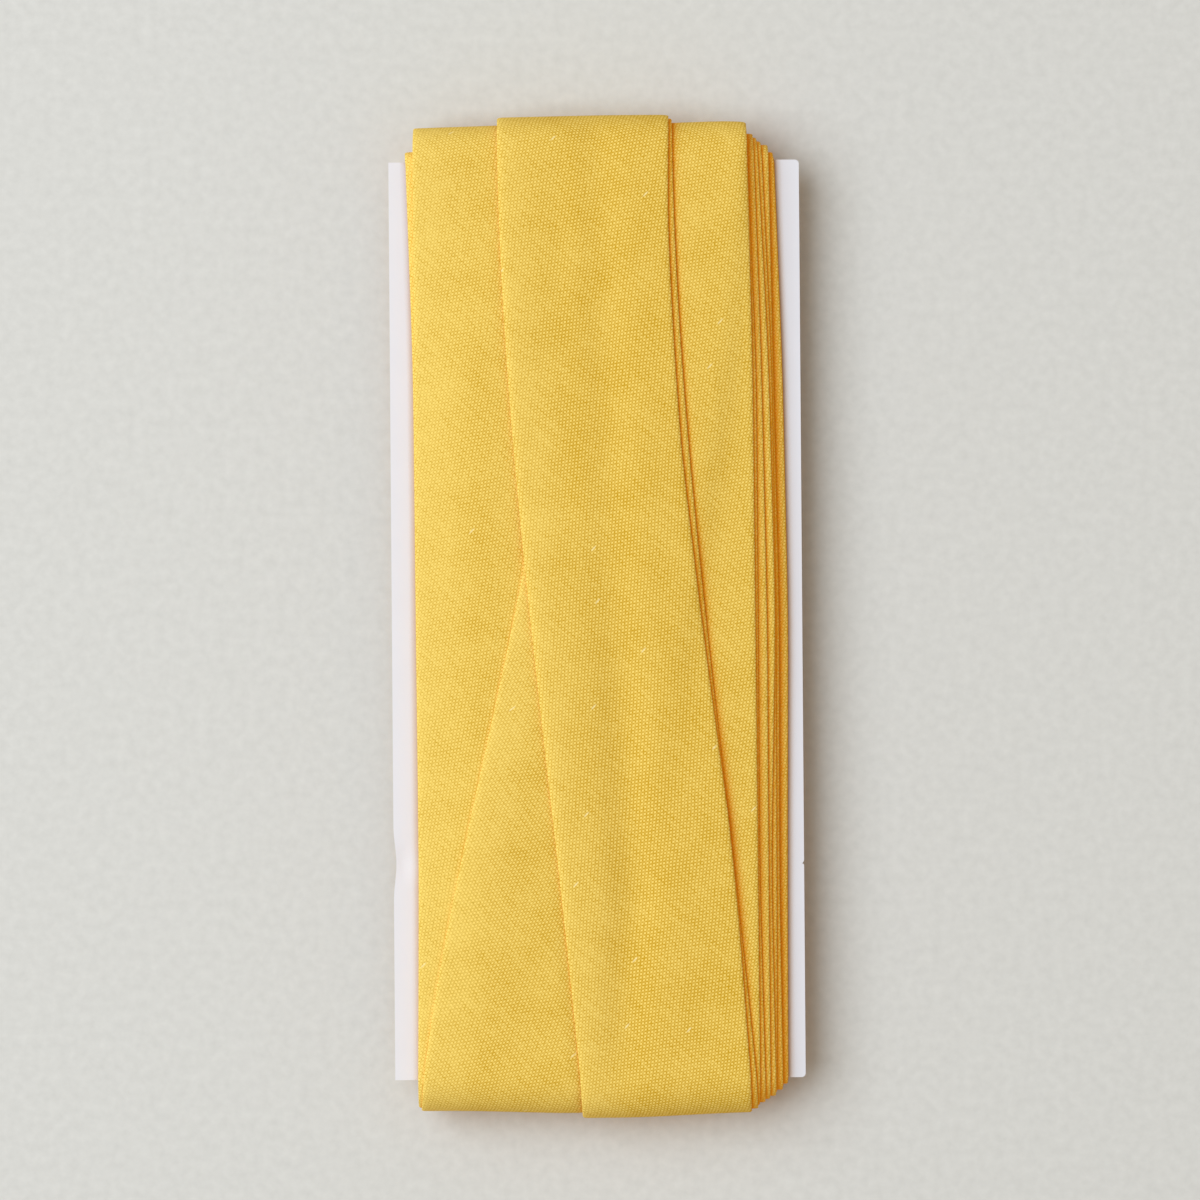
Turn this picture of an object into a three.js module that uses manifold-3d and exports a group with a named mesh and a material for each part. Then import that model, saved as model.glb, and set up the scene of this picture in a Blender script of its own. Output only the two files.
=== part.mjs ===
// Bias binding wound on a card: a folded cotton tape that runs lengthwise round a flat white board.
// Millimetres. X is across the card, Y along it, and Z out of its front. The origin is at the bottom centre
// of the whole object's box, with the back of the winding resting on Z = 0.
import * as THREE from "three";
import { mergeVertices } from "three/addons/utils/BufferGeometryUtils.js";
import Module from "manifold-3d";

const { clamp, lerp, smoothstep } = THREE.MathUtils;

// The card.
const cardWidth = 48.4;
const cardLength = 108.6;
const cardThickness = 0.8;
const cardCornerRadius = 0.5;
const cardGap = 0.3;

// The tape: both raw edges are turned in to its middle, so one layer is two plies of cotton.
const tapeWidth = 20;
const foldRadius = 0.2;
const layerOnFace = 0.44;
const layerAtTop = 0.445;
const layerAtBottom = 0.385;
const sinkIntoInnerTurns = 0.3;
const softenedOver = 4;
const softeningSamples = 5;

// The back presses flat where it rests.
const backDepth = 5;

// The inner turns lie in two columns side by side, which the outer turns cross.
const innerLayers = 8;
const leftColumnEdge = -21.4;
const peekingLayers = 3;
const valleyLeft = -1.2;
const valleyRight = 0.6;
const valleySlope = 0.6;
const valleyDrop = 0.5;
const outerDepth = 4.7;

// Left edge of the few innermost layers, which stand out a little near the top.
const peekingEdge = { top: -22.2, middle: -21.5, bottom: -21.5 };

// Right edge of the right column. Each pair of layers is wound a little further in than the pair under it.
const rightColumnEdges = [
  { top: 21.4, middle: 22.2, bottom: 22.2 },
  { top: 21.2, middle: 21.6, bottom: 21.5 },
  { top: 20.6, middle: 20.7, bottom: 20.6 },
  { top: 19.3, middle: 19.5, bottom: 19.5 },
];

// The outer turns in winding order. top is where the middle of the tape starts down the front, and bottom
// is where it leaves the front. Up the back it goes on to the top of the next turn.
const outerTurns = [
  { top: -11.3, bottom: -11.5 },
  { top: 7.5, bottom: -11.35 },
  { top: 8.07, bottom: 8.65 },
  { top: -0.74, bottom: 8.8 },
  { top: -1.31, bottom: 8.1 },
];
const tapeEndAcross = 5.5;
const tapeEndShare = 0.62;

// Steps round the loop.
const frontSteps = 14;
const backSteps = 10;
const quarterSteps = 4;

const straightHalf = cardLength / 2 - cardThickness / 2;
const reach = cardLength / 2 + outerDepth;
const apexAtBottom = quarterSteps + frontSteps + quarterSteps;

const cardMaterial = new THREE.MeshStandardMaterial({ color: 0xe9e6e4, roughness: 0.85, metalness: 0 });
const tapeMaterial = new THREE.MeshStandardMaterial({ color: 0xe9c55a, roughness: 0.9, metalness: 0 });

const wasm = await Module();
wasm.setup();

// Places on the card's outline, with the way out from it: from the top end down the front and up the back.
function stationOnEnd(centreY, angle) {
  const ny = Math.cos(angle);
  const nz = Math.sin(angle);
  return { y: centreY + (ny * cardThickness) / 2, z: (nz * cardThickness) / 2, ny, nz };
}

function makeStations() {
  const quarter = Math.PI / 2;
  const stations = [];
  const addQuarter = (centreY, first) => {
    for (let i = 0; i < quarterSteps; i++) {
      stations.push(stationOnEnd(centreY, (first + i / quarterSteps) * quarter));
    }
  };
  const addStraight = (fromY, steps, side) => {
    for (let i = 0; i < steps; i++) {
      stations.push(stationOnEnd(lerp(fromY, -fromY, i / steps), side * quarter));
    }
  };
  addQuarter(straightHalf, 0);
  addStraight(straightHalf, frontSteps, 1);
  addQuarter(-straightHalf, 1);
  addQuarter(-straightHalf, 2);
  addStraight(-straightHalf, backSteps, 3);
  addQuarter(straightHalf, 3);
  return stations;
}

const stations = makeStations();
const stationAt = (index) => stations[(index + stations.length) % stations.length];

// Thickness of one layer at a place: the tape is pulled tight over the ends and lies looser on the faces.
function layerAt(station) {
  return station.ny > 0
    ? lerp(layerOnFace, layerAtTop, station.ny)
    : lerp(layerOnFace, layerAtBottom, -station.ny);
}

// How far down the card a place is, from 0 at the top end to 1 at the bottom end.
function downAt(station) {
  return clamp(0.5 - (station.y + station.ny * outerDepth) / (2 * reach), 0, 1);
}

// A leaning pass starts straight, leans most below the middle and straightens again.
function leanShare(share) {
  return (smoothstep(share, 0, 1) + share * share) / 2;
}

function edgeAt(edge, station) {
  const down = downAt(station);
  return down < 0.5
    ? lerp(edge.top, edge.middle, smoothstep(down, 0, 0.5))
    : lerp(edge.middle, edge.bottom, smoothstep(down, 0.5, 1));
}

// Section of the inner turns, as points across the card and out from it.
function innerSection(station) {
  const layer = layerAt(station);
  const top = innerLayers * layer;
  const ledge = peekingLayers * layer;
  const peek = edgeAt(peekingEdge, station);
  const start = cardGap / 2;
  const section = [
    [peek, start],
    [peek, ledge],
    [leftColumnEdge, ledge],
    [leftColumnEdge, top - foldRadius],
    [leftColumnEdge + foldRadius, top],
    [valleyLeft - valleySlope, top],
    [valleyLeft, top - valleyDrop],
    [valleyRight, top - valleyDrop],
    [valleyRight + valleySlope, top],
  ];
  const steps = rightColumnEdges.length;
  for (let i = steps - 1; i >= 0; i--) {
    const edge = edgeAt(rightColumnEdges[i], station);
    const outer = (top * (i + 1)) / steps;
    section.push([edge - foldRadius, outer], [edge, outer - foldRadius]);
    section.push([edge, i === 0 ? start : (top * i) / steps]);
  }
  return section;
}

function innerTop(station, across) {
  const top = innerLayers * layerAt(station);
  return across > valleyLeft && across < valleyRight ? top - valleyDrop : top;
}

// A closed solid lofted through sections, each one a list of points across the card and out from it.
function loft(sections, loopStations, closed) {
  const count = sections[0].length;
  const positions = [];
  sections.forEach((section, i) => {
    const { y, z, ny, nz } = loopStations[i];
    section.forEach(([across, depth]) => positions.push(across, y + depth * ny, z + depth * nz));
  });
  const index = [];
  const rings = closed ? sections.length : sections.length - 1;
  for (let i = 0; i < rings; i++) {
    const here = i * count;
    const next = ((i + 1) % sections.length) * count;
    for (let k = 0; k < count; k++) {
      const after = (k + 1) % count;
      index.push(here + k, next + after, here + after, here + k, next + k, next + after);
    }
  }
  if (!closed) {
    addCap(index, sections[0], 0, true);
    addCap(index, sections[sections.length - 1], (sections.length - 1) * count, false);
  }
  const geometry = new THREE.BufferGeometry();
  geometry.setAttribute("position", new THREE.Float32BufferAttribute(positions, 3));
  geometry.setIndex(index);
  return geometry;
}

function addCap(index, section, offset, first) {
  const outline = section.map(([across, depth]) => new THREE.Vector2(across, depth));
  const clockwise = THREE.ShapeUtils.isClockWise(outline);
  for (const [a, b, c] of THREE.ShapeUtils.triangulateShape(outline, [])) {
    const turned = clockwise !== first;
    index.push(offset + a, offset + (turned ? b : c), offset + (turned ? c : b));
  }
}

function toSolid(geometry) {
  const bare = geometry.clone();
  bare.deleteAttribute("normal");
  bare.deleteAttribute("uv");
  const merged = mergeVertices(bare, 1e-4);
  const mesh = new wasm.Mesh({
    numProp: 3,
    vertProperties: merged.attributes.position.array,
    triVerts: new Uint32Array(merged.index.array),
  });
  return new wasm.Manifold(mesh);
}

function toGeometry(solid) {
  const mesh = solid.getMesh();
  const geometry = new THREE.BufferGeometry();
  geometry.setAttribute("position", new THREE.BufferAttribute(mesh.vertProperties, 3));
  geometry.setIndex(new THREE.BufferAttribute(mesh.triVerts, 1));
  const flat = geometry.toNonIndexed();
  flat.computeVertexNormals();
  return flat;
}

// One pass of the tape over the front or the back, from the middle of one end to the middle of the other.
const facePoints = [-1, -0.75, -0.5, -0.25, 0, 0.25, 0.5, 0.75, 1];

function layPass(laid, firstIndex, lastIndex, centreOf) {
  const pass = { first: firstIndex, centres: [], tops: [] };
  const half = tapeWidth / 2;
  const supports = [];
  for (let i = firstIndex; i <= lastIndex; i++) {
    const station = stationAt(i);
    const centre = centreOf(station);
    pass.centres.push(centre);
    supports.push(facePoints.map((share) => supportAt(laid, i, station, centre + share * half)));
  }
  pass.tops = supports.map((row, i) => {
    const layer = layerAt(stationAt(firstIndex + i));
    const before = supports[Math.max(i - 1, 0)];
    const after = supports[Math.min(i + 1, supports.length - 1)];
    return row.map((depth, k) => (before[k] + 2 * depth + after[k]) / 4 + layer);
  });
  pass.sections = pass.tops.map((row, i) => {
    const core = innerLayers * layerAt(stationAt(firstIndex + i)) - valleyDrop;
    return passSection(pass.centres[i], row, core - sinkIntoInnerTurns);
  });
  pass.stations = pass.tops.map((row, i) => stationAt(firstIndex + i));
  return pass;
}

// A pass is solid down to the inner turns, so that it closes over the edges that it crosses.
function passSection(centre, tops, underside) {
  const half = tapeWidth / 2;
  const last = facePoints.length - 1;
  const outer = facePoints.map((share, k) => {
    const inset = k === 0 ? foldRadius : k === last ? -foldRadius : 0;
    return [centre + share * half + inset, tops[k]];
  });
  const left = [centre - half, tops[0] - foldRadius];
  const right = [centre + half, tops[last] - foldRadius];
  return [left, ...outer, right, [centre + half, underside], [centre - half, underside]];
}

// Depth of what a new pass lies on at a place. The cloth softens the edges under it, and the pass just before
// it is the same stretch of tape where the two meet over an end.
function supportAt(laid, index, station, across) {
  const under = laid.slice(0, -1);
  let sum = 0;
  for (let i = 0; i < softeningSamples; i++) {
    const x = across + (i / (softeningSamples - 1) - 0.5) * softenedOver;
    const depths = under.map((pass) => topOfPass(pass, index, x));
    sum += Math.max(innerTop(station, x), ...depths);
  }
  return sum / softeningSamples;
}

function topOfPass(pass, index, across) {
  const row = [index, index - stations.length, index + stations.length]
    .map((place) => place - pass.first)
    .find((place) => place >= 0 && place < pass.tops.length);
  if (row === undefined) {
    return 0;
  }
  const share = (across - pass.centres[row]) / (tapeWidth / 2);
  if (Math.abs(share) > 1) {
    return 0;
  }
  const at = ((share + 1) / 2) * (facePoints.length - 1);
  const k = Math.min(Math.floor(at), facePoints.length - 2);
  return lerp(pass.tops[row][k], pass.tops[row][k + 1], at - k);
}

function layOuterTurns() {
  const laid = [];
  outerTurns.forEach((turn, i) => {
    const next = outerTurns[i + 1];
    const downFront = (station) => lerp(turn.top, turn.bottom, leanShare(downAt(station)));
    laid.push(layPass(laid, -1, apexAtBottom + 1, downFront));
    const goal = next ? next.top : tapeEndAcross;
    const backStations = stations.length - apexAtBottom;
    const lastStep = next ? backStations + 1 : Math.round(backStations * tapeEndShare);
    const upBack = (station) => lerp(turn.bottom, goal, smoothstep(1 - downAt(station), 0, 1));
    laid.push(layPass(laid, apexAtBottom - 1, apexAtBottom + lastStep, upBack));
  });
  return laid;
}

// The slot that the card fills, and the slab under the plane on which the back rests.
function boxSolid(width, length, height, centreZ) {
  return toSolid(new THREE.BoxGeometry(width, length, height).translate(0, 0, centreZ));
}

function makeWinding() {
  let winding = toSolid(loft(stations.map(innerSection), stations, true));
  for (const pass of layOuterTurns()) {
    winding = winding.add(toSolid(loft(pass.sections, pass.stations, false)));
  }
  const slot = boxSolid(2 * cardWidth, cardLength + 2 * cardGap, cardThickness + 2 * cardGap, 0);
  const slabHeight = 20;
  const restZ = -cardThickness / 2 - backDepth;
  const slab = boxSolid(2 * cardWidth, 2 * cardLength, slabHeight, restZ - slabHeight / 2);
  return toGeometry(winding.subtract(slot).subtract(slab));
}

// The card has two sharp corners on the left and two rounded ones on the right.
function makeCard() {
  const right = cardWidth / 2;
  const top = cardLength / 2;
  const r = cardCornerRadius;
  const outline = new THREE.Shape();
  outline.moveTo(-right, -top);
  outline.lineTo(right - r, -top);
  outline.absarc(right - r, -top + r, r, -Math.PI / 2, 0, false);
  outline.lineTo(right, top - r);
  outline.absarc(right - r, top - r, r, 0, Math.PI / 2, false);
  outline.lineTo(-right, top);
  const board = new THREE.ExtrudeGeometry(outline, {
    depth: cardThickness,
    bevelEnabled: false,
    curveSegments: 4,
  });
  return board.translate(0, 0, -cardThickness / 2);
}

function namedMesh(name, geometry, material) {
  const mesh = new THREE.Mesh(geometry, material);
  mesh.name = name;
  return mesh;
}

const binding = new THREE.Group();
binding.add(namedMesh("card", makeCard(), cardMaterial));
binding.add(namedMesh("winding", makeWinding(), tapeMaterial));

const box = new THREE.Box3().setFromObject(binding);
const middle = box.getCenter(new THREE.Vector3());
binding.position.set(-middle.x, -middle.y, -box.min.z);

export default binding;
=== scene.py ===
# Yellow cotton bias binding, wound lengthwise round a flat white card and seen from straight above.

import math

import bpy
import numpy as np
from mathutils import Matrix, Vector


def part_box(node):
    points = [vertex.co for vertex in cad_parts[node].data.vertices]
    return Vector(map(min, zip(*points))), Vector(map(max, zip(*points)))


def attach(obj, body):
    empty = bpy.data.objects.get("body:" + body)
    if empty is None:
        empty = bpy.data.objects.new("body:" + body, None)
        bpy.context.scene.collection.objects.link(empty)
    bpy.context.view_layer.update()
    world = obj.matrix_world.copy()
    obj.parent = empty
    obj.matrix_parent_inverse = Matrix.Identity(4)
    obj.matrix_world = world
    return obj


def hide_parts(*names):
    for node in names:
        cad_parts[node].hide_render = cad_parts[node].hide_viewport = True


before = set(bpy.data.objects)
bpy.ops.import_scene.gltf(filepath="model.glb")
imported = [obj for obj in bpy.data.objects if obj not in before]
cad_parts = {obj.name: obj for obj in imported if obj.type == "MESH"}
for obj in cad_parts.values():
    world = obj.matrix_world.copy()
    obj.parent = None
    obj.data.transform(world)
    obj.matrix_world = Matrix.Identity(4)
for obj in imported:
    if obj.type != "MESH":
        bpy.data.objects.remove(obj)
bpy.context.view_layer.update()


# The card
# One piece of white-lined board, die-cut with a steel rule. Its left corners are sharp and its right ones are
# worn. The tape has buckled its left margin once, and its right edge has a small nick.

MM = 0.001
card_low, card_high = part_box("card")
wider_on_left = 0.17
card_low.x -= wider_on_left * MM
card_middle = (card_low + card_high) / 2
card_width, card_length, card_thickness = (card_high - card_low) / MM
corner_radius = 0.5
cut_edge_radius = 0.03

buckle_from_top = 83.0
buckle_length = 5.5
buckle_across = 1.0
buckle_inward = 0.32
buckle_sunk = 0.28
nick_from_top = 83.3
nick_length = 0.5
nick_inward = 0.22


def linear(hex_colour):
    """An sRGB hex colour as linear red, green, blue and alpha."""
    parts = [int(hex_colour[i : i + 2], 16) / 255 for i in (1, 3, 5)]
    return [p / 12.92 if p <= 0.04045 else ((p + 0.055) / 1.055) ** 2.4 for p in parts] + [1.0]


def add_node(tree, kind, settings=None, links=None):
    """Adds a node with its settings, and sets each given socket to a value or links it to an output."""
    node = tree.nodes.new(kind)
    for name, value in (settings or {}).items():
        setattr(node, name, value)
    for name, value in (links or {}).items():
        if isinstance(value, bpy.types.NodeSocket):
            tree.links.new(value, node.inputs[name])
        else:
            node.inputs[name].default_value = value
    return node


def new_material(name):
    """An empty material, its node tree and its output node."""
    material = bpy.data.materials.new(name)
    material.use_nodes = True
    material.node_tree.nodes.clear()
    output = add_node(material.node_tree, "ShaderNodeOutputMaterial")
    return material, material.node_tree, output


def select_where(piece, test):
    """Selects the vertices whose place from the card's middle, in millimetres, passes the test."""
    bpy.ops.object.mode_set(mode="OBJECT")
    for part in (*piece.data.polygons, *piece.data.edges, *piece.data.vertices):
        part.select = False
    for vertex in piece.data.vertices:
        vertex.select = test((piece.matrix_world @ vertex.co - card_middle) / MM)
    bpy.ops.object.mode_set(mode="EDIT")
    bpy.ops.mesh.select_mode(type="VERT")


def cut_across(axis, place):
    """In edit mode, cuts the whole mesh at a place along an axis, in millimetres from the card's middle."""
    bpy.ops.mesh.select_all(action="SELECT")
    direction = Vector([1.0 if i == axis else 0.0 for i in range(3)])
    bpy.ops.mesh.bisect(plane_co=card_middle + direction * place * MM, plane_no=direction)


bpy.ops.object.select_all(action="DESELECT")
bpy.ops.mesh.primitive_cube_add(size=1, location=card_middle, scale=card_high - card_low)
card = bpy.context.active_object
card.name = "white_board"
bpy.ops.object.transform_apply(location=True, rotation=True, scale=True)

bpy.ops.object.mode_set(mode="EDIT")
bpy.ops.mesh.select_all(action="DESELECT")
bpy.ops.mesh.select_mode(type="EDGE")
bpy.ops.object.mode_set(mode="OBJECT")
for edge in card.data.edges:
    ends = [card.data.vertices[i].co for i in edge.vertices]
    upright = abs(ends[0].z - ends[1].z) > card_thickness * MM / 2
    edge.select = upright and ends[0].x > card_middle.x
bpy.ops.object.mode_set(mode="EDIT")
bpy.ops.mesh.bevel(offset=corner_radius * MM, segments=5, affect="EDGES")

# Cuts across and along the board give the buckle and the nick their points.
left, right, top = -card_width / 2, card_width / 2, card_length / 2
buckle_y = top - buckle_from_top
nick_y = top - nick_from_top
for step in range(-8, 9):
    cut_across(1, buckle_y + step * buckle_length / 8)
for step in (-1, -0.5, -0.2, 0, 0.2, 0.5, 1):
    cut_across(1, nick_y + step * nick_length)
for place in (0.3, 0.7, 1.1, 1.6, 2.2):
    cut_across(0, left + place)
cut_across(0, right - nick_inward)

# The buckle is a soft crease that runs down beside the edge and draws it in.
select_where(card, lambda p: p.x < left + 0.05 and abs(p.y - buckle_y) < 0.1)
bpy.ops.transform.translate(
    value=(buckle_inward * MM, 0, 0),
    use_proportional_edit=True,
    proportional_edit_falloff="SMOOTH",
    proportional_size=buckle_length * 0.8 * MM,
)
select_where(card, lambda p: abs(p.x - left - buckle_across) < 0.25 and abs(p.y - buckle_y) < 0.5)
bpy.ops.transform.translate(
    value=(0, 0, -buckle_sunk * MM),
    use_proportional_edit=True,
    proportional_edit_falloff="SMOOTH",
    proportional_size=buckle_length * 0.45 * MM,
)
select_where(card, lambda p: p.x > right - 0.05 and abs(p.y - nick_y) < 0.05)
bpy.ops.transform.translate(value=(-nick_inward * MM, 0, 0))
bpy.ops.object.mode_set(mode="OBJECT")

softened = card.modifiers.new("softened edges", "BEVEL")
softened.width = cut_edge_radius * MM
softened.segments = 2
softened.limit_method = "ANGLE"
softened.angle_limit = math.radians(50)
bpy.ops.object.modifier_apply(modifier=softened.name)
bpy.ops.object.shade_smooth_by_angle(angle=math.radians(40))


def painted_shade_where_closed_in(tree, colour, tint, reach, closed, clear, seen_from=None):
    """Painted shade: a colour that turns to the tint where other surfaces within reach leave little open sky.
    """
    sockets = {"Distance": reach * MM}
    if seen_from is not None:
        sockets["Normal"] = seen_from
    open_sky = add_node(tree, "ShaderNodeAmbientOcclusion", {"samples": 6}, sockets)
    openness = add_node(
        tree,
        "ShaderNodeMapRange",
        links={"Value": open_sky.outputs["AO"], "From Min": closed, "From Max": clear},
    )
    tinted = add_node(
        tree,
        "ShaderNodeMix",
        {"data_type": "RGBA"},
        {"Factor": openness.outputs["Result"], "A": linear(tint), "B": colour},
    )
    return tinted.outputs["Result"]


# Uncoated white-lined board: calendered paper over pulp, matt and faintly fibrous, with a soft grain. Beside
# the pack it carries a painted warm shade, for the shadow and the yellow light thrown off the cloth.
fibre_length = 0.9
mottle_size = 6.0
board, tree, output = new_material("uncoated white-lined board")
place = add_node(tree, "ShaderNodeTexCoord")
fibres = add_node(
    tree,
    "ShaderNodeTexNoise",
    links={"Vector": place.outputs["Object"], "Scale": 1 / (fibre_length * MM), "Detail": 4.0},
)
mottle = add_node(
    tree,
    "ShaderNodeTexNoise",
    links={"Vector": place.outputs["Object"], "Scale": 1 / (mottle_size * MM), "Detail": 2.0},
)
tones = add_node(
    tree,
    "ShaderNodeMix",
    {"data_type": "RGBA"},
    {"Factor": mottle.outputs["Fac"], "A": linear("#E4E6EC"), "B": linear("#E0E2E8")},
)
# Painted shade: the board turns warm brown where the cloth pack closes it in.
with_painted_warm_shade = painted_shade_where_closed_in(
    tree, tones.outputs["Result"], "#B8904C", reach=1.1, closed=0.3, clear=1.0
)
relief = add_node(
    tree,
    "ShaderNodeBump",
    links={"Height": fibres.outputs["Fac"], "Strength": 0.25, "Distance": 0.02 * MM},
)
surface = add_node(
    tree,
    "ShaderNodeBsdfPrincipled",
    links={
        "Base Color": with_painted_warm_shade,
        "Roughness": 0.7,
        "IOR": 1.5,
        "Specular IOR Level": 0.35,
        "Normal": relief.outputs["Normal"],
    },
)
tree.links.new(surface.outputs["BSDF"], output.inputs["Surface"])
card.data.materials.append(board)

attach(card, "root")
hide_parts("card")


# The tape
# Cotton poplin cut on the bias 40 mm wide, both raw edges pressed in to the middle of its back, so that it
# lies 20 mm wide and two plies thick. One length of about 5 m runs round the card, turn over turn.

tape_width = 20.0
cut_width = 2 * tape_width
ply = 0.17
two_plies = 0.37
raw_edge_from_middle = 0.35
layer_on_face = 0.44
layer_at_top = 0.445
layer_at_bottom = 0.385
clear_of_card = 0.05
clear_of_card_edge = 0.15
pack_depth = 4.7
pressed_depth = 5.0
mean_build_up = 3.0

# The loop is measured from the middle of the back, up over the top end, down the front and round the bottom.
straight_half = (card_length - card_thickness) / 2
edge_radius = card_thickness / 2
end_run = math.pi * (edge_radius + mean_build_up)
front_start = straight_half + end_run
front_end = front_start + 2 * straight_half
back_start = front_end + end_run
loop_length = back_start + straight_half
top_apex = straight_half + end_run / 2
bottom_apex = front_end + end_run / 2
corners = [0, straight_half, front_start, front_end, back_start, loop_length]

# Where the middle of the tape crosses the front, at the top, a quarter, a half and three quarters of the way
# down, and at the bottom. A turn with two numbers leans from its top to its bottom.
left_inner = [
    (-11.35, -11.38, -11.40, -11.30, -11.45),
    (-11.25, -11.30, -11.35, -11.25, -11.35),
    (-12.40, -11.55, -11.45, -11.30, -11.40),
    (-11.30, -11.25, -11.30, -11.20, -11.50),
    (-11.30, -11.35, -11.42, -11.28, -11.45),
    (-11.38, -11.25, -11.30, -11.15, -11.35),
    (-11.28, -11.30, -11.38, -11.25, -11.50),
    (-11.34, -11.32, -11.36, -11.20, -11.42),
]
right_inner = [
    (11.25, 12.20, 12.66, 12.36, 12.25),
    (11.15, 12.12, 12.58, 12.28, 12.18),
    (10.65, 11.10, 11.56, 11.35, 11.68),
    (10.60, 11.00, 11.50, 11.30, 11.60),
    (9.70, 10.85, 11.12, 11.00, 10.86),
    (9.20, 10.50, 11.06, 10.35, 10.80),
    (8.80, 9.62, 10.08, 10.03, 10.08),
    (7.95, 8.98, 8.97, 8.93, 9.55),
]
outer_turns = [
    (-11.30, -11.33, -11.35, -11.25, -11.52),
    (7.50, -11.35),
    (8.03, 8.57, 8.68, 8.78, 8.84),
    (-0.74, 8.80),
    (-1.40, 8.02),
]
left_before_right = 4
turns = left_inner[:left_before_right] + right_inner + left_inner[left_before_right:] + outer_turns
tail_across = 5.5
tail_run = 13.0
bend_rows = 8


def loop_place(along):
    """Where a place along the loop is on the card's outline, and the way out from it: y, z, out_y, out_z."""
    along = np.mod(along, loop_length)
    angle = np.radians(np.interp(along, corners, [270, 270, 450, 450, 630, 630]))
    centre_y = np.interp(along, corners, [0, straight_half, straight_half, -straight_half, -straight_half, 0])
    out_y, out_z = np.cos(angle), np.sin(angle)
    return centre_y + edge_radius * out_y, edge_radius * out_z, out_y, out_z


def smooth(share):
    """A share from 0 to 1, eased at both ends."""
    share = np.clip(share, 0, 1)
    return share * share * (3 - 2 * share)


def way_down(along):
    """From 0 at the top end to 1 at the bottom end, on the front and on the back."""
    y, _, out_y, _ = loop_place(along)
    return np.clip(0.5 - (y + out_y * pack_depth) / (card_length + 2 * pack_depth), 0, 1)


def spread(field, reach, axis, pick):
    """The pick, such as the largest, of each value's neighbours within reach along an axis."""
    padding = [(reach, reach) if i == axis else (0, 0) for i in range(2)]
    wide = np.pad(field, padding, mode="edge")
    size = field.shape[axis]
    parts = [np.take(wide, np.arange(i, i + size), axis=axis) for i in range(2 * reach + 1)]
    return pick(np.stack(parts), axis=0)


def across_front(turn, down):
    """The middle of the tape on its way down the front: a leaning turn leans most below the middle."""
    if len(turn) == 2:
        early = 0.5 * down**4 * (1 - down) if turn[1] < turn[0] else 0
        return turn[0] + (turn[1] - turn[0]) * ((smooth(down) + down * down) / 2 + early)
    return np.interp(down, (0, 0.25, 0.5, 0.75, 1), turn)


def path_of(number, along):
    """Where the middle of the tape is across the card, all the way round one turn."""
    turn = turns[number]
    before = turns[max(number - 1, 0)][-1]
    after = turns[number + 1][0] if number + 1 < len(turns) else tail_across
    down = way_down(along)
    rising = before + (turn[0] - before) * smooth(1 - down)
    leaving = turn[-1] + (after - turn[-1]) * smooth(1 - down)
    front = across_front(turn, down)
    path = np.where(along < top_apex, rising, np.where(along > bottom_apex, leaving, front))
    return spread(path[:, None], bend_rows, 0, np.mean)[:, 0]


# The pack is worked out turn by turn on two grids: depth over the card, by loop row and place across, and
# the underside of the tape, by row and place across the tape.
rows_a_turn = 320
row_step = loop_length / rows_a_turn
row_along = np.arange(rows_a_turn) * row_step
across_step = 0.1
grid_half = 24
across = np.arange(-grid_half, grid_half + across_step / 2, across_step)
strip_step = 0.2
strip = np.arange(-tape_width / 2, tape_width / 2 + strip_step / 2, strip_step)
tail_rows = int(tail_run / row_step)
_, _, row_out_y, row_out_z = loop_place(row_along)
row_layer = np.where(
    row_out_y > 0,
    layer_on_face + (layer_at_top - layer_on_face) * row_out_y,
    layer_on_face + (layer_at_bottom - layer_on_face) * -row_out_y,
)

# How the cloth lies down: the gaps it bridges and its sag there, its steepest drop beside a step, how far its
# stiffness carries, the narrowest ridge that stands up, and how tight and straight it is over the ends.
bridged_reach = 2.6
bridged_sag = 0.3
steepest = 0.4
soft_reach_across = 0.6
soft_reach_along = 1.5
ridge_reach = 3.6
ridge_edge = 0.5
straight_share = 0.75
most_pressed = 0.7
climb_run = 6.0
bare_depth = 0.1
tight_from = 0.2
tight_over = 0.5
start_rows = 8


def strip_on(field, centres):
    """A field over the card as the tape meets it: a row for each centre, and the places across the tape."""
    wanted = (centres[:, None] + strip[None, :] - across[0]) / across_step
    left_cell = np.clip(wanted.astype(int), 0, len(across) - 2)
    share = np.clip(wanted - left_cell, 0, 1)
    rows = np.arange(len(centres))[:, None]
    return field[rows, left_cell] * (1 - share) + field[rows, left_cell + 1] * share


def pulled_tight(profile):
    """A profile as tape pulled tight over an end crosses it: bent only downwards, and nearly straight."""
    kept = []
    for k, height in enumerate(profile):
        while len(kept) > 1:
            (k1, h1), (k2, h2) = kept[-2:]
            if (h2 - h1) * (k - k1) > (height - h1) * (k2 - k1):
                break
            kept.pop()
        kept.append((k, height))
    tight = np.interp(np.arange(len(profile)), *zip(*kept))
    straight = np.polyval(np.polyfit(np.arange(len(profile)), tight, 1), np.arange(len(profile)))
    return tight + (straight - tight) * straight_share


def underside_on(field, centres, out_y):
    """How the tape lies on a field: it bridges gaps, tents off steps and is tight over the ends."""
    under = strip_on(field, centres)
    reach = int(bridged_reach / strip_step)
    bridge = spread(spread(under, reach, 1, np.max), reach, 1, np.min)
    under = np.maximum(under, bridge - bridged_sag)
    for k in range(1, under.shape[1]):
        under[:, k] = np.maximum(under[:, k], under[:, k - 1] - steepest * strip_step)
    for k in range(under.shape[1] - 2, -1, -1):
        under[:, k] = np.maximum(under[:, k], under[:, k + 1] - steepest * strip_step)
    softened = spread(spread(under, 1, 1, np.max), int(soft_reach_across / strip_step), 1, np.mean)
    softened = spread(softened, int(soft_reach_along / row_step), 0, np.mean)
    under = np.maximum(softened, under)
    for i in np.flatnonzero(np.abs(out_y) > tight_from):
        tightness = smooth((abs(out_y[i]) - tight_from) / tight_over)
        under[i] += (pulled_tight(under[i]) - under[i]) * tightness
    return np.maximum(under, 0)


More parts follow.
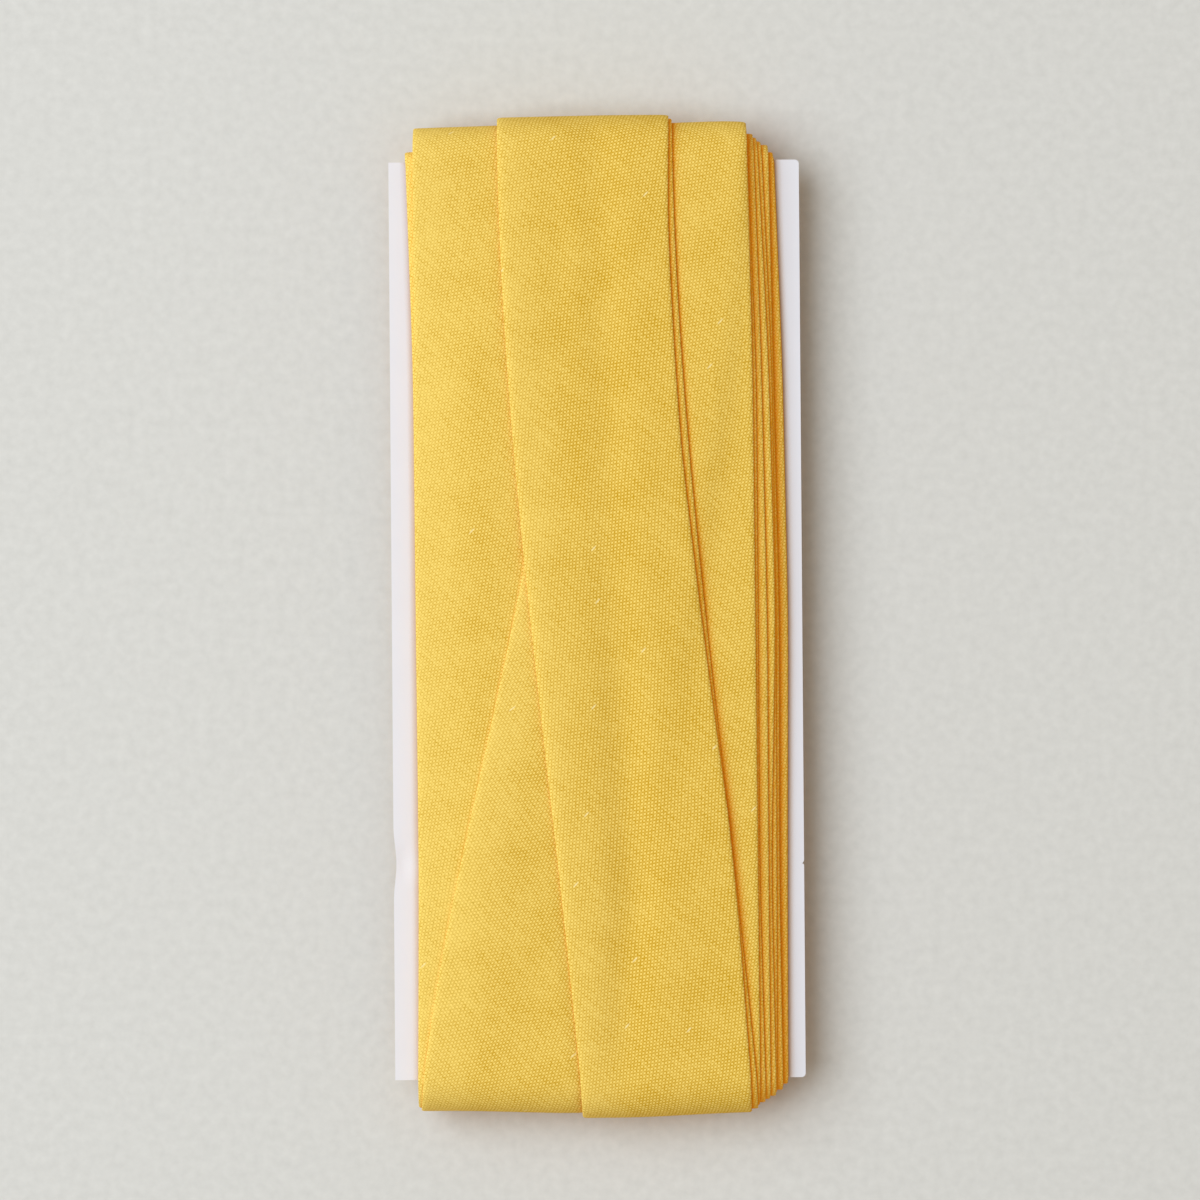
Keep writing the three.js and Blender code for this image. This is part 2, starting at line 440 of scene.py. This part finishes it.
def over_card(centres, values):
    """Values given across the tape, on the grid over the card, and where the tape covers it."""
    offset = across[None, :] - centres[:, None]
    wanted = (offset + tape_width / 2) / strip_step
    left_cell = np.clip(wanted.astype(int), 0, len(strip) - 2)
    share = np.clip(wanted - left_cell, 0, 1)
    index = np.arange(len(centres))[:, None]
    here = values[index, left_cell] * (1 - share) + values[index, left_cell + 1] * share
    return here, np.abs(offset) <= tape_width / 2


def lay(rows, centres, unders):
    """Lays a stretch of tape: it packs down what stands above its underside, and raises the depth."""
    here, covered = over_card(centres, unders)
    ratio = here / np.maximum(depth[rows], bare_depth)
    pressed_by = np.where(covered, np.clip(ratio, most_pressed, 1), 1)
    pressed_by[depth[rows] < bare_depth] = 1
    packing[rows] *= pressed_by
    depth[rows] *= pressed_by
    depth[rows] = np.where(covered, np.maximum(depth[rows], here + row_layer[rows, None]), depth[rows])


def packed_down(field):
    """How far each place packs down: ridges narrower than the reach are pressed level with their sides."""
    reach = int(ridge_reach / across_step)
    level = spread(spread(field, reach, 1, np.min), reach, 1, np.max)
    ratio = np.maximum(level, bare_depth) / np.maximum(field, bare_depth)
    ratio = np.where(field > bare_depth, ratio, 1)
    edge = int(ridge_edge / across_step)
    return spread(spread(ratio, edge, 1, np.min), edge, 1, np.mean)


depth = np.zeros((rows_a_turn, len(across)))
packing = np.ones_like(depth)
all_centres, all_unders, all_packings = [], [], []
climb_rows = int(climb_run / row_step)
climb = smooth(np.arange(1, climb_rows + 1) / climb_rows)[:, None]
for number in range(len(turns) + 1):
    is_tail = number == len(turns)
    rows = np.arange(tail_rows if is_tail else rows_a_turn)
    if is_tail:
        down = way_down(row_along[rows])
        centres = turns[-1][-1] + (tail_across - turns[-1][-1]) * smooth(1 - down)
    else:
        centres = path_of(number, row_along)
    if number:
        # The tape climbs onto this turn's height over the last stretch of the turn before.
        first = slice(start_rows)
        start = underside_on(depth[rows[first]], centres[first], row_out_y[first])[0]
        last = np.arange(rows_a_turn - climb_rows, rows_a_turn)
        all_unders[-1][last] += (start - all_unders[-1][-1]) * climb
        lay(last, all_centres[-1][last], all_unders[-1][last])
    under = underside_on(depth[rows], centres, row_out_y[rows])
    lay(rows, centres, under)
    all_centres.append(centres)
    all_unders.append(under)
    all_packings.append(packing.copy())
    ratio = packed_down(depth)
    depth *= ratio
    packing *= ratio
tape_centres = np.concatenate(all_centres)
tape_unders = np.concatenate(all_unders)

# The outermost turn is pulled a little narrower above its middle and spreads below: its width in millimetres
# at each share of the way down.
outermost_down = (0, 0.1, 0.33, 0.5, 0.7, 0.8, 0.9, 1)
outermost_widths = (20.3, 19.95, 19.8, 20.2, 20.75, 20.6, 20.25, 20.0)

# Section of the folded strip, from the raw edge under its left half, round the outside and back inside.
# Each point has its place across the tape, its height and its place across the flat cloth.
half = tape_width / 2
fold = two_plies / 2
fold_round = 0.32
lower_points = [half - 0.6, 7.5, 5.0, 2.5, raw_edge_from_middle]
inner_points = [raw_edge_from_middle, 2.5, 5.0, 7.5, half - 0.8]
face_points = [-half + 0.6, -8.75, *np.arange(-7.5, 7.6, 1.25), 8.75, half - 0.6]


def fold_arc(side, degrees):
    """Points round the outside of a pressed fold, which is rounded back over fold_round."""
    turned = [math.radians(d) for d in degrees]
    place = [side * (half - fold_round + fold_round * math.cos(a)) for a in turned]
    return [(w, fold + fold * math.sin(a), w) for w, a in zip(place, turned)]


section = [(-w, 0.0, w - cut_width / 2) for w in reversed(lower_points)]
section += fold_arc(-1, (-65, -22, 22, 65))
section += [(w, two_plies, w) for w in face_points]
section += fold_arc(1, (65, 22, -22, -65))
section += [(w, 0.0, cut_width / 2 - w) for w in lower_points]
section += [(w, ply, cut_width / 2 - w) for w in inner_points]
section += [(half - 0.45, fold, half)]
section += [(w, two_plies - ply, w) for w in reversed(face_points)]
section += [(-half + 0.45, fold, -half)]
section += [(-w, ply, w - cut_width / 2) for w in reversed(inner_points)]
section_across, section_height, section_cloth = (np.array(column) for column in zip(*section))

# Stations along the tape, counted for half the back, the top end, the front, the bottom end and the other
# half of the back. The turns that show are finer.
coarse_steps = (6, 9, 24, 9, 6)
fine_steps = (18, 14, 60, 14, 18)
fine_turns = 5


def turn_stations(number):
    """Stations along one turn, from the middle of the back round to there again."""
    steps = fine_steps if number >= len(turns) - fine_turns else coarse_steps
    parts = [np.linspace(a, b, n, endpoint=False) for a, b, n in zip(corners, corners[1:], steps)]
    return np.concatenate(parts) + number * loop_length


tail_stations = np.linspace(0, tail_run, 6) + len(turns) * loop_length
stations = np.concatenate([*(turn_stations(n) for n in range(len(turns))), tail_stations])
last_row = len(tape_centres) - 1
station_row = np.minimum(stations / row_step, last_row)


def at_rows(values, row):
    """Values of the long grids at a fractional row."""
    low = np.minimum(row.astype(int), last_row - 1)
    share = row - low
    if values.ndim == 2:
        share = share[:, None]
    return values[low] * (1 - share) + values[low + 1] * share


def field_at(field, row, x):
    """A periodic field over the card, at fractional rows and places across."""
    low_row = np.floor(row).astype(int)
    row_share = (row - low_row)[:, None]
    cell = np.clip((x - across[0]) / across_step, 0, len(across) - 1.001)
    low_cell = cell.astype(int)
    cell_share = cell - low_cell
    values = []
    for r in (low_row, low_row + 1):
        line = field[np.mod(r, rows_a_turn)[:, None], low_cell] * (1 - cell_share)
        values.append(line + field[np.mod(r, rows_a_turn)[:, None], low_cell + 1] * cell_share)
    return values[0] * (1 - row_share) + values[1] * row_share


station_centre = at_rows(tape_centres, station_row)
station_under = at_rows(tape_unders, station_row)
under_cell = np.clip((section_across + half) / strip_step, 0, len(strip) - 1.001)
under_low = under_cell.astype(int)
under_share = under_cell - under_low
section_under = station_under[:, under_low] * (1 - under_share)
section_under += station_under[:, under_low + 1] * under_share
y0, z0, out_y, out_z = loop_place(stations)
pulled_width = np.interp(way_down(stations), outermost_down, outermost_widths)
on_top_turn = (stations > (len(turns) - 1) * loop_length + top_apex) & (stations < len(turns) * loop_length)
extra = np.where(on_top_turn & (out_z > -0.2), pulled_width - tape_width, 0)
stretch = 1 + extra[:, None] / tape_width
x = station_centre[:, None] + section_across[None, :] * stretch + extra[:, None] / 2

# Later turns pack down the earlier ones, and the table presses the back flat where the pack is thickest.
no_limit = 99.0
least_divisor = 0.01
back_share = np.maximum(-row_out_z, least_divisor)
room = np.where(row_out_z < 0, (edge_radius + pressed_depth) / back_share - edge_radius, no_limit)[:, None]
squeeze = np.minimum(1, room / np.maximum(depth, least_divisor))
pressed = np.empty_like(x)
for number, before in enumerate(all_packings):
    inside = np.floor(stations / loop_length) == number
    pressed[inside] = field_at(squeeze * packing / before, station_row[inside], x[inside])

# A soft trough runs down the front over the gap between the two columns, and the faces are a little uneven.
trough_width = 2.4
trough_sunk = 0.75
trough_down = (0, 0.45, 0.77, 1)
trough_across = (0.2, 1.9, 4.0, 2.2)
deepest_down = (0, 0.5, 0.75, 0.9, 1)
deepest_share = (0.5, 0.6, 1.0, 0.8, 0)
slump_left = 1.2
slump_right = 0.1
slump_starts = 11
slump_run = 14
eased_at_top = 0.4
eased_left_of = 9
eased_top_run = 8
eased_at_bottom = 0.45
eased_beyond = 2
eased_bottom_run = 17
uneven_height = 0.05
# Each slow wave of the unevenness has its share, its size across and along in millimetres, and its start.
uneven_waves = ((1.0, 6.1, 13.0, 0.7), (0.8, 3.7, -8.3, 2.1), (0.6, 9.0, 5.1, 4.4))
y_here = y0 + out_y * pack_depth
down = way_down(stations)
on_front = smooth((out_z - 0.3) / 0.7)
trough_x = np.interp(down, trough_down, trough_across)
trough_share = np.interp(down, deepest_down, deepest_share)
trough = np.exp(-(((x - trough_x[:, None]) / trough_width) ** 2)) * trough_share[:, None]
uneven = np.zeros_like(x)
for share, size_across, size_along, start in uneven_waves:
    uneven += share * np.sin(x / size_across + y_here[:, None] / size_along + start)
stack = (section_under + section_height[None, :]) * pressed
share_of_pack = stack / pack_depth
stack -= trough_sunk * trough * share_of_pack * on_front[:, None]
stack += uneven_height * uneven * share_of_pack * np.abs(out_z)[:, None]
slump = np.where(x < 0, slump_left, slump_right) * smooth((np.abs(x) - slump_starts) / slump_run)
stack -= slump * share_of_pack * on_front[:, None] * (1 - (y_here / straight_half)[:, None] ** 4).clip(0)
eased_top = 1 - smooth((x - eased_left_of) / eased_top_run)
stack -= eased_at_top * share_of_pack * np.clip(out_y, 0, 1)[:, None] * eased_top
eased_bottom = smooth((np.abs(x) - eased_beyond) / eased_bottom_run)
stack -= eased_at_bottom * share_of_pack * np.clip(-out_y, 0, 1)[:, None] * eased_bottom
clear = clear_of_card + (clear_of_card_edge - clear_of_card) * np.abs(out_y)
back_share = np.maximum(-out_z, least_divisor)
lowest = np.where(out_z < 0, (edge_radius + pressed_depth) / back_share - edge_radius, no_limit)
out = np.minimum(stack + clear[:, None], lowest[:, None])
points = np.stack(
    [x, y0[:, None] + out * out_y[:, None], z0[:, None] + out * out_z[:, None]],
    axis=-1,
)
points = points * MM + np.array(card_middle)

ring = len(section)
count = len(stations)
middle_column = int(np.argmin(np.abs(section_across) + np.abs(section_height - two_plies)))
middle_line = points[:, middle_column] / MM
run = np.concatenate([[0], np.cumsum(np.linalg.norm(np.diff(middle_line, axis=0), axis=1))])
faces = []
for i in range(count - 1):
    for k in range(ring):
        after = (k + 1) % ring
        faces.append((i * ring + k, i * ring + after, (i + 1) * ring + after, (i + 1) * ring + k))
faces.append(tuple(reversed(range(ring))))
faces.append(tuple((count - 1) * ring + k for k in range(ring)))
tape_mesh = bpy.data.meshes.new("folded_tape")
tape_mesh.from_pydata(points.reshape(-1, 3).tolist(), [], faces)
cloth = tape_mesh.uv_layers.new(name="cloth in millimetres")
corner_vertex = np.zeros(len(tape_mesh.loops), int)
tape_mesh.loops.foreach_get("vertex_index", corner_vertex)
corner_uv = np.stack([section_cloth[corner_vertex % ring], run[corner_vertex // ring]], axis=-1)
cloth.data.foreach_set("uv", corner_uv.astype(np.float32).ravel())
tape_mesh.polygons.foreach_set("use_smooth", [True] * len(tape_mesh.polygons))
tape_mesh.validate()
tape = bpy.data.objects.new("folded_tape", tape_mesh)
bpy.context.scene.collection.objects.link(tape)

# Cotton poplin, plain weave on the bias: matt gold cloth whose coarser yarns run in fine slanted lines from
# upper left to lower right, with a dark pinhole at every crossing, soft streaks and a few pale flecks. The
# yarns are drawn at their real spacing.
coarse_yarn = 0.334
fine_yarn = 0.231
yarn_relief = 0.035
waver = 0.12
waver_size = 7.0
fleck_cell = 7.0
fleck_width = 0.24
fleck_stretch = 4.5
grains_a_mm = 2.6
patches_a_mm = 0.22
streaks_a_yarn = (0.7, 0.06, 0)
outer_turn_run = 252.0
painted_groove_shade_reach = 1.6
window_side = (-0.74, 0.16, 0.65)
own_facing = 0.25

poplin, tree, output = new_material("yellow bias-cut cotton poplin")
cloth_place = add_node(tree, "ShaderNodeUVMap", {"uv_map": "cloth in millimetres"})
wavering = add_node(
    tree,
    "ShaderNodeTexNoise",
    {"noise_dimensions": "2D"},
    {"Vector": cloth_place.outputs["UV"], "Scale": 1 / waver_size, "Detail": 2.0},
)
wavered = add_node(
    tree,
    "ShaderNodeVectorMath",
    {"operation": "MULTIPLY_ADD"},
    {0: wavering.outputs["Color"], 1: (2 * waver, 2 * waver, 0), 2: cloth_place.outputs["UV"]},
)
on_bias = add_node(
    tree,
    "ShaderNodeVectorRotate",
    {"rotation_type": "Z_AXIS"},
    {"Vector": wavered.outputs["Vector"], "Angle": math.radians(45)},
)
yarns = add_node(
    tree,
    "ShaderNodeVectorMath",
    {"operation": "MULTIPLY"},
    {0: on_bias.outputs["Vector"], 1: (1 / coarse_yarn, 1 / fine_yarn, 0)},
)
yarn = add_node(tree, "ShaderNodeSeparateXYZ", links={0: yarns.outputs["Vector"]})
# One whole wave to a yarn gives its ridge, and half a wave gives whether it lies over or under.
waves = []
for direction, waves_a_yarn in (("X", 1), ("Y", 1), ("X", 0.5), ("Y", 0.5)):
    angle = add_node(
        tree,
        "ShaderNodeMath",
        {"operation": "MULTIPLY"},
        {0: yarn.outputs[direction], 1: 2 * math.pi * waves_a_yarn},
    )
    wave = add_node(tree, "ShaderNodeMath", {"operation": "COSINE"}, {0: angle.outputs[0]})
    waves.append(wave.outputs[0])
coarse_ridge, fine_ridge, coarse_over, fine_over = waves
gaps = []
for ridge in (coarse_ridge, fine_ridge):
    gap = add_node(tree, "ShaderNodeMath", {"operation": "MULTIPLY_ADD"}, {0: ridge, 1: -0.5, 2: 0.5})
    gaps.append(gap.outputs[0])
pinhole = add_node(tree, "ShaderNodeMath", {"operation": "MULTIPLY"}, {0: gaps[0], 1: gaps[1]}).outputs[0]
coarse_on_top = add_node(
    tree,
    "ShaderNodeMath",
    {"operation": "MULTIPLY"},
    {0: coarse_over, 1: fine_over},
).outputs[0]
grain = add_node(
    tree,
    "ShaderNodeTexNoise",
    {"noise_dimensions": "2D"},
    {"Vector": cloth_place.outputs["UV"], "Scale": grains_a_mm, "Detail": 1.0},
)
streak_place = add_node(
    tree,
    "ShaderNodeVectorMath",
    {"operation": "MULTIPLY"},
    {0: yarns.outputs["Vector"], 1: streaks_a_yarn},
)
streaks = add_node(
    tree,
    "ShaderNodeTexNoise",
    {"noise_dimensions": "2D"},
    {"Vector": streak_place.outputs["Vector"], "Scale": 1.0, "Detail": 1.0},
)
patches = add_node(
    tree,
    "ShaderNodeTexNoise",
    {"noise_dimensions": "2D"},
    {"Vector": cloth_place.outputs["UV"], "Scale": patches_a_mm, "Detail": 3.0},
)
# Painted light: the turns beneath the outer ones are drawn a little paler, and the left-hand fold, which
# faces the window, carries a painted highlight.
on_cloth = add_node(tree, "ShaderNodeSeparateXYZ", links={0: cloth_place.outputs["UV"]})
# Painted light: the turns beneath are drawn paler and the outer turns deeper.
painted_light_by_turn = add_node(
    tree,
    "ShaderNodeMapRange",
    links={
        "Value": on_cloth.outputs["Y"],
        "From Min": float(run[-1]) - 4.5 * outer_turn_run,
        "From Max": float(run[-1]) - outer_turn_run,
        "To Min": 0.05,
        "To Max": -0.07,
    },
)
# Painted highlight: the left-hand fold, which faces the window, is drawn paler.
painted_left_fold_highlight = add_node(
    tree,
    "ShaderNodeMapRange",
    links={"Value": on_cloth.outputs["X"], "From Min": -3.0, "From Max": -10.0, "To Max": 0.24},
)
tone = 0.16
for value, share in (
    (painted_light_by_turn.outputs["Result"], 1.0),
    (painted_left_fold_highlight.outputs["Result"], 1.0),
    (coarse_ridge, 0.06),
    (fine_ridge, 0.06),
    (pinhole, -0.7),
    (coarse_on_top, 0.52),
    (grain.outputs["Fac"], 0.55),
    (streaks.outputs["Fac"], 0.3),
    (patches.outputs["Fac"], 0.32),
):
    added = add_node(tree, "ShaderNodeMath", {"operation": "MULTIPLY_ADD"}, {0: value, 1: share, 2: tone})
    tone = added.outputs[0]
dyed = add_node(
    tree,
    "ShaderNodeMix",
    {"data_type": "RGBA"},
    {"Factor": tone, "A": linear("#C89A14"), "B": linear("#FADB74")},
)
fleck_place = add_node(
    tree,
    "ShaderNodeVectorMath",
    {"operation": "MULTIPLY"},
    {0: on_bias.outputs["Vector"], 1: (1 / fleck_cell / fleck_stretch, 1 / fleck_cell, 0)},
)
fleck_cells = add_node(
    tree,
    "ShaderNodeTexVoronoi",
    {"voronoi_dimensions": "2D"},
    {"Vector": fleck_place.outputs["Vector"], "Scale": 1.0},
)
fleck = add_node(
    tree,
    "ShaderNodeMapRange",
    {},
    {
        "Value": fleck_cells.outputs["Distance"],
        "From Min": fleck_width / fleck_cell / 4,
        "From Max": fleck_width / fleck_cell / 2,
        "To Min": 0.6,
        "To Max": 0.0,
    },
)
flecked = add_node(
    tree,
    "ShaderNodeMix",
    {"data_type": "RGBA"},
    {"Factor": fleck.outputs["Result"], "A": dyed.outputs["Result"], "B": linear("#FFF0B4")},
)
# Painted shade: every groove is painted a deep orange, for light that soaks through the thin cloth and
# bounces between folds, most of all on the side of a fold that looks away from the window.
facing = add_node(tree, "ShaderNodeNewGeometry")
leaning = add_node(
    tree,
    "ShaderNodeVectorMath",
    {"operation": "MULTIPLY_ADD"},
    {0: facing.outputs["Normal"], 1: (own_facing, own_facing, own_facing), 2: window_side},
)
towards_window = add_node(
    tree,
    "ShaderNodeVectorMath",
    {"operation": "NORMALIZE"},
    {0: leaning.outputs["Vector"]},
)
with_painted_groove_shade = painted_shade_where_closed_in(
    tree,
    flecked.outputs["Result"],
    "#FFA500",
    reach=painted_groove_shade_reach,
    closed=0.32,
    clear=0.66,
    seen_from=towards_window.outputs["Vector"],
)
height = 0.0
for value, share in ((coarse_ridge, 0.3), (pinhole, -0.9), (coarse_on_top, 0.5)):
    added = add_node(tree, "ShaderNodeMath", {"operation": "MULTIPLY_ADD"}, {0: value, 1: share, 2: height})
    height = added.outputs[0]
weave_relief = add_node(
    tree,
    "ShaderNodeBump",
    links={"Height": height, "Strength": 0.7, "Distance": yarn_relief * MM},
)
surface = add_node(
    tree,
    "ShaderNodeBsdfPrincipled",
    links={
        "Base Color": with_painted_groove_shade,
        "Roughness": 0.9,
        "IOR": 1.5,
        "Specular IOR Level": 0.05,
        "Normal": weave_relief.outputs["Normal"],
    },
)
tree.links.new(surface.outputs["BSDF"], output.inputs["Surface"])
tape_mesh.materials.append(poplin)

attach(tape, "root")
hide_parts("winding")


# The table top
# Plain pale grey paper, matt, that runs well past the view on every side. It lies a hair below the pack, so
# that the two never share a face.

floor_size = 3.0
floor_below = 0.1 * MM
paper_grain = 1.2
bpy.ops.object.select_all(action="DESELECT")
bpy.ops.mesh.primitive_plane_add(size=floor_size, location=(0, 0, -floor_below))
floor = bpy.context.active_object
floor.name = "pale_floor"
bpy.ops.object.transform_apply(location=True, rotation=True, scale=True)

# Uncoated grey paper, machine-finished: matt and faintly mottled, with a painted warm shadow near the pack.
paper, tree, output = new_material("matt grey paper")
place = add_node(tree, "ShaderNodeTexCoord")
grain = add_node(
    tree,
    "ShaderNodeTexNoise",
    links={"Vector": place.outputs["Object"], "Scale": 1 / (paper_grain * MM), "Detail": 5.0},
)
tones = add_node(
    tree,
    "ShaderNodeMix",
    {"data_type": "RGBA"},
    {"Factor": grain.outputs["Fac"], "A": linear("#CACAC5"), "B": linear("#DCDCD7")},
)
# Painted shadow: the paper turns warm brown where the pack closes it in.
with_painted_warm_shade = painted_shade_where_closed_in(
    tree, tones.outputs["Result"], "#CBAE80", reach=8.0, closed=0.1, clear=0.5
)
surface = add_node(
    tree,
    "ShaderNodeBsdfPrincipled",
    links={"Base Color": with_painted_warm_shade, "Roughness": 0.9, "Specular IOR Level": 0.2},
)
tree.links.new(surface.outputs["BSDF"], output.inputs["Surface"])
floor.data.materials.append(paper)


# Light
# A large soft window stands at the upper left. The room round it is pale and slightly warm, so that the
# shadows of the folds turn brown and not blue.

bpy.context.scene.view_settings.view_transform = "Standard"
world = bpy.data.worlds.new("pale room")
bpy.context.scene.world = world
world.use_nodes = True
world.node_tree.nodes["Background"].inputs["Color"].default_value = linear("#FFF1DD")
world.node_tree.nodes["Background"].inputs["Strength"].default_value = 0.47

lamp_data = bpy.data.lights.new("soft window", "AREA")
lamp_data.shape = "SQUARE"
lamp_data.size = 1.3
lamp_data.energy = 21.9
lamp_data.color = linear("#EAF3FF")[:3]
lamp = bpy.data.objects.new("soft window", lamp_data)
lamp.location = (-0.80, 0.20, 1.18)
lamp.rotation_euler = (-lamp.location).to_track_quat("-Z", "Y").to_euler()
bpy.context.scene.collection.objects.link(lamp)


# The camera
# Straight above, as in the photograph, turned a little so that the card's top leans left. At 0.1175 mm a
# pixel the folded tape comes out at its standard width of 20 mm.

picture_pixels = 1200
mm_a_pixel = 0.1175
card_middle_pixel = (597.0, 620.0)
card_lean = math.radians(0.437)
camera_above = 650.0
sensor = 36.0

right_pixels = picture_pixels / 2 - card_middle_pixel[0]
up_pixels = card_middle_pixel[1] - picture_pixels / 2
aim_x = (right_pixels * math.cos(card_lean) + up_pixels * math.sin(card_lean)) * mm_a_pixel
aim_y = (up_pixels * math.cos(card_lean) - right_pixels * math.sin(card_lean)) * mm_a_pixel
camera_data = bpy.data.cameras.new("camera")
camera_data.sensor_width = sensor
camera_data.lens = sensor * camera_above / (picture_pixels * mm_a_pixel)
camera_data.clip_start = 0.01
camera = bpy.data.objects.new("camera", camera_data)
front_z = card_middle.z / MM + edge_radius + pack_depth
camera.location = (
    card_middle.x + aim_x * MM,
    card_middle.y + aim_y * MM,
    (front_z + camera_above) * MM,
)
camera.rotation_euler = (0, 0, -card_lean)
bpy.context.scene.collection.objects.link(camera)
bpy.context.scene.camera = camera
